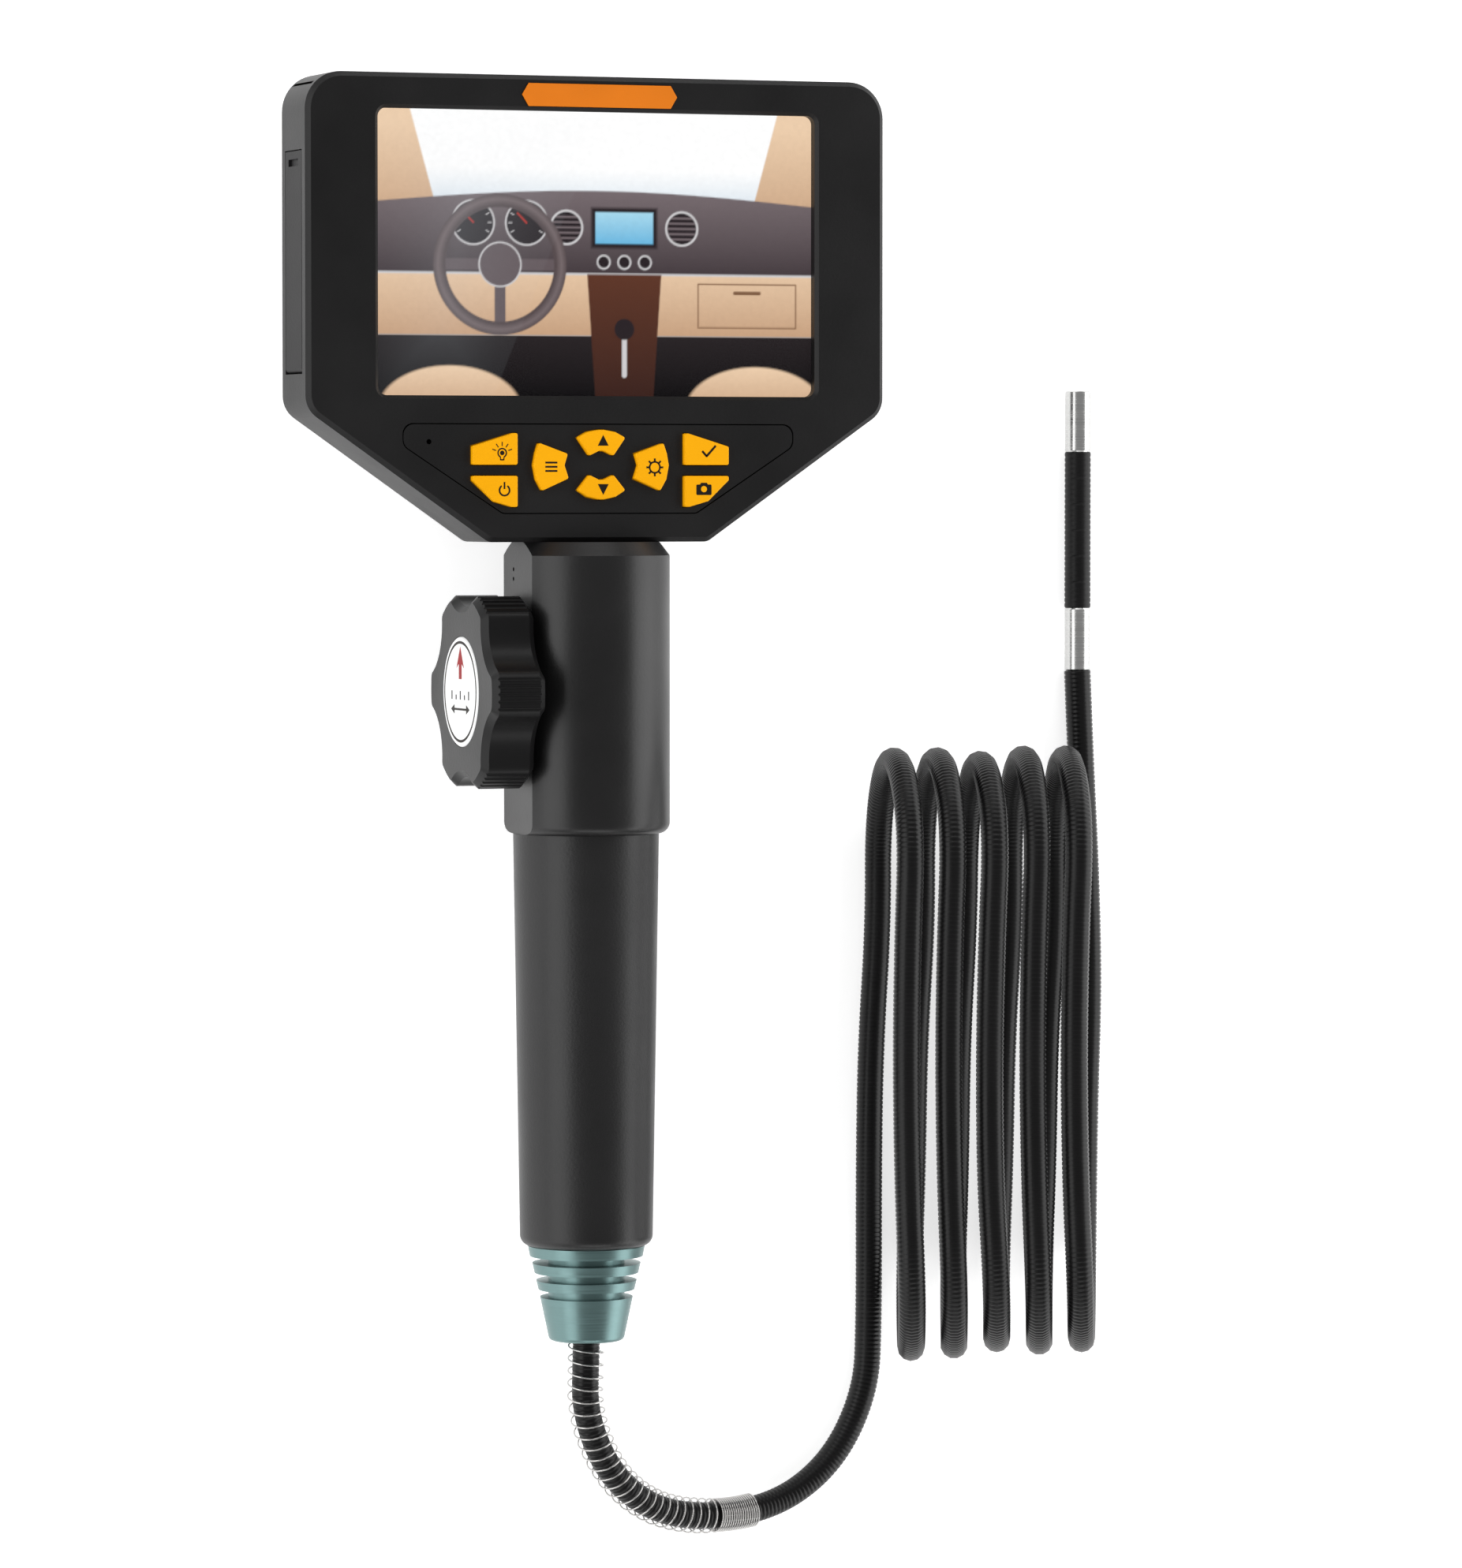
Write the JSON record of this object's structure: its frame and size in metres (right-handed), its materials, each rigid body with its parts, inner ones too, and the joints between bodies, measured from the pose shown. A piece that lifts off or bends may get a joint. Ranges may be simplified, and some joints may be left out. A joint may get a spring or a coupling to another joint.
{
  "type": "inspection camera",
  "caption": "Handheld inspection camera: a head with a screen and keypad on a grip with a side knob, and a long thin coiled tube with a bending tip.",
  "frame": {"origin": "bottom centre of the handset's box, without the insertion tube: on the handle's axis in plan, half way along the handset, on the surface it lies on", "axes": "+Y from the nose cone to the head, +Z the way the screen faces, +X to the right of a person reading the screen"},
  "size_m": [0.208, 0.3397, 0.0584],
  "materials": {
    "head_black": "fine satin texture",
    "handle_black": "fine matte texture",
    "knob_black": "satin, fine ribs",
    "label_white": "printed disc",
    "key_amber": "silk-smooth silicone with printed symbols",
    "badge_orange": "glossy, blank",
    "window_glass": "polished",
    "display": "lit picture",
    "black_rubber": "matte",
    "tube_black": "fine ribs round the tube",
    "steel": "satin",
    "spring_steel": "polished wire",
    "teal_metal": "anodised, satin",
    "brass": "turned",
    "board_green": "solder mask",
    "switch_metal": "stamped",
    "cell_silver": "foil",
    "lens_glass": "coated",
    "lamp_white": "diffuse lamps"
  },
  "bodies": {
    "handset": {"front_cover": "head_black", "rear_cover": "head_black", "keypad_panel": "head_black", "lcd_bracket": "steel", "screen_window": "window_glass", "lcd_panel": "display", "badge_plate": "badge_orange", "keypad_mat": "black_rubber", "tact_switches": "switch_metal", "keypad_board": "board_green", "main_board": "board_green", "usb_socket": "steel", "card_socket": "steel", "battery": "cell_silver", "case_screws": "steel", "port_hinge_pin": "steel", "side_pad": "black_rubber", "neck_spigot": "handle_black", "control_housing": "handle_black", "grip_tube": "handle_black", "nose_cone": "teal_metal", "cable_gland": "brass", "outer_bush": "brass", "inner_bush": "brass", "brake_washer": "steel", "control_frame": "steel", "wire_guide": "handle_black", "signal_harness": "black_rubber", "insertion_tube_lead": "tube_black", "insertion_tube_coil": "tube_black", "insertion_tube_tail": "tube_black", "spring_guard": "spring_steel", "base_collar": "steel", "bending_sleeve": "black_rubber"},
    "knob": {"control_knob": "knob_black", "knob_cap": "label_white", "knob_screw": "steel", "control_shaft": "steel", "wire_drum": "brass", "shaft_clip": "steel"},
    "port_flap": {"port_cover": "black_rubber"},
    "wire_a": {"pull_wire_a": "steel"},
    "wire_b": {"pull_wire_b": "steel"},
    "tip_head": {"camera_head": "steel", "tip_window": "lens_glass", "led_ring": "lamp_white", "camera_lens": "lens_glass"},
    "light_key": {"button_light": "key_amber"},
    "power_key": {"button_power": "key_amber"},
    "mode_key": {"button_mode": "key_amber"},
    "up_key": {"button_up": "key_amber"},
    "down_key": {"button_down": "key_amber"},
    "settings_key": {"button_settings": "key_amber"},
    "ok_key": {"button_ok": "key_amber"},
    "photo_key": {"button_photo": "key_amber"},
    "link_1": {"bending_link_1": "steel"},
    "link_2": {"bending_link_2": "steel"},
    "link_3": {"bending_link_3": "steel"},
    "link_4": {"bending_link_4": "steel"},
    "link_5": {"bending_link_5": "steel"}
  },
  "joints": [
    {"name": "knob_turn", "type": "hinge", "parent": "handset", "child": "knob", "pos_m": [-0.02385, 0.0049, 0.0238], "axis": [1, 0, 0], "range_deg": [-90, 90]},
    {"name": "light_press", "type": "slide", "parent": "handset", "child": "light_key", "axis": [0, 0, -1], "range_m": [0, 0.0006], "stiffness_N_per_m": 800, "springref_m": -0.0004},
    {"name": "power_press", "type": "slide", "parent": "handset", "child": "power_key", "axis": [0, 0, -1], "range_m": [0, 0.0006], "stiffness_N_per_m": 800, "springref_m": -0.0004},
    {"name": "mode_press", "type": "slide", "parent": "handset", "child": "mode_key", "axis": [0, 0, -1], "range_m": [0, 0.0006], "stiffness_N_per_m": 800, "springref_m": -0.0004},
    {"name": "up_press", "type": "slide", "parent": "handset", "child": "up_key", "axis": [0, 0, -1], "range_m": [0, 0.0006], "stiffness_N_per_m": 800, "springref_m": -0.0004},
    {"name": "down_press", "type": "slide", "parent": "handset", "child": "down_key", "axis": [0, 0, -1], "range_m": [0, 0.0006], "stiffness_N_per_m": 800, "springref_m": -0.0004},
    {"name": "settings_press", "type": "slide", "parent": "handset", "child": "settings_key", "axis": [0, 0, -1], "range_m": [0, 0.0006], "stiffness_N_per_m": 800, "springref_m": -0.0004},
    {"name": "ok_press", "type": "slide", "parent": "handset", "child": "ok_key", "axis": [0, 0, -1], "range_m": [0, 0.0006], "stiffness_N_per_m": 800, "springref_m": -0.0004},
    {"name": "photo_press", "type": "slide", "parent": "handset", "child": "photo_key", "axis": [0, 0, -1], "range_m": [0, 0.0006], "stiffness_N_per_m": 800, "springref_m": -0.0004},
    {"name": "port_flap_hinge", "type": "hinge", "parent": "handset", "child": "port_flap", "pos_m": [-0.0688, 0.0784, 0.0238], "axis": [0, 0, 1], "range_deg": [0, 95]},
    {"name": "wire_a_pull", "type": "slide", "parent": "handset", "child": "wire_a", "axis": [0, -0.9999, -0.016], "range_m": [-0.0061, 0.0061]},
    {"name": "wire_b_pull", "type": "slide", "parent": "handset", "child": "wire_b", "axis": [0, -0.9999, 0.016], "range_m": [-0.0061, 0.0061]},
    {"name": "bend_1", "type": "hinge", "parent": "handset", "child": "link_1", "pos_m": [0.132, 0.0259, 0.0032], "axis": [0, 0, 1], "range_deg": [-30.5, 30.5], "deforming": ["bending_sleeve"]},
    {"name": "bend_2", "type": "hinge", "parent": "link_1", "child": "link_2", "pos_m": [0.132, 0.0321, 0.0032], "axis": [0, 0, 1], "range_deg": [-30.5, 30.5]},
    {"name": "bend_3", "type": "hinge", "parent": "link_2", "child": "link_3", "pos_m": [0.132, 0.0383, 0.0032], "axis": [0, 0, 1], "range_deg": [-30.5, 30.5]},
    {"name": "bend_4", "type": "hinge", "parent": "link_3", "child": "link_4", "pos_m": [0.132, 0.0445, 0.0032], "axis": [0, 0, 1], "range_deg": [-30.5, 30.5]},
    {"name": "bend_5", "type": "hinge", "parent": "link_4", "child": "link_5", "pos_m": [0.132, 0.0507, 0.0032], "axis": [0, 0, 1], "range_deg": [-30.5, 30.5]},
    {"name": "bend_6", "type": "hinge", "parent": "link_5", "child": "tip_head", "pos_m": [0.132, 0.0569, 0.0032], "axis": [0, 0, 1], "range_deg": [-30.5, 30.5]}
  ],
  "couplings": [
    {"joint": "bend_1", "follows": "knob_turn", "ratio": 0.33333},
    {"joint": "bend_2", "follows": "knob_turn", "ratio": 0.33333},
    {"joint": "bend_3", "follows": "knob_turn", "ratio": 0.33333},
    {"joint": "bend_4", "follows": "knob_turn", "ratio": 0.33333},
    {"joint": "bend_5", "follows": "knob_turn", "ratio": 0.33333},
    {"joint": "bend_6", "follows": "knob_turn", "ratio": 0.33333},
    {"joint": "wire_a_pull", "follows": "knob_turn", "m_per_rad": 0.00385},
    {"joint": "wire_b_pull", "follows": "knob_turn", "m_per_rad": -0.00385}
  ]
}
